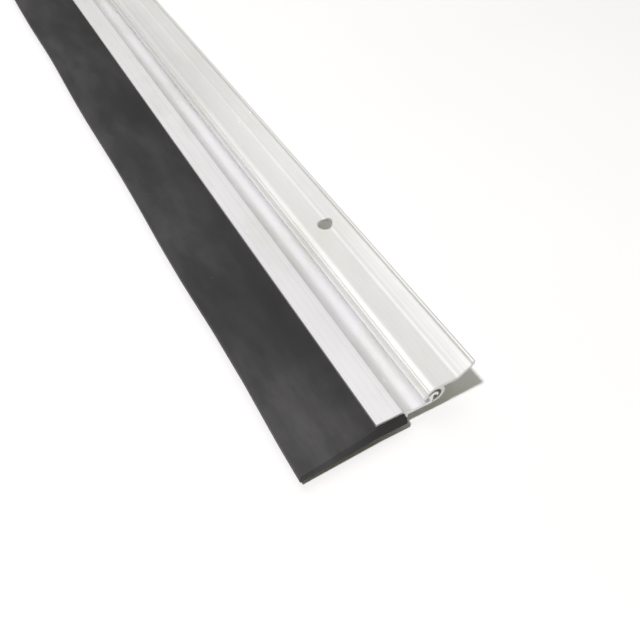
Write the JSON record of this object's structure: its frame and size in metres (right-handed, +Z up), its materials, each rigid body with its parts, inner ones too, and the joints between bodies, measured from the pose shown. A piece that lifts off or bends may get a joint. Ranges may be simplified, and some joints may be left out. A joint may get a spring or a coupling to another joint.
{
  "type": "door sweep",
  "caption": "Hinged door bottom sweep: an aluminium mounting flange with screw holes carries a swinging aluminium rail that grips a flat rubber sealing blade.",
  "frame": {"origin": "centre of the sweep's footprint, on the level surface it lies on", "axes": "+Y along the sweep's length, +X from the blade's free edge to the rim of the flange, +Z up from the surface it lies on"},
  "size_m": [0.0636, 0.9204, 0.015],
  "materials": {
    "flange_aluminium": "mill finish, satin",
    "carrier_aluminium": "mill finish, satin",
    "blade_rubber": "matte, slightly scuffed"
  },
  "bodies": {
    "flange": {"mounting_flange": "flange_aluminium"},
    "carrier": {"carrier_rail": "carrier_aluminium", "rubber_blade": "blade_rubber"}
  },
  "joints": [
    {"name": "blade_swing", "type": "hinge", "parent": "flange", "child": "carrier", "pos_m": [0.01765, 0, 0.0063], "axis": [0, 1, 0], "range_deg": [0, 25]}
  ]
}
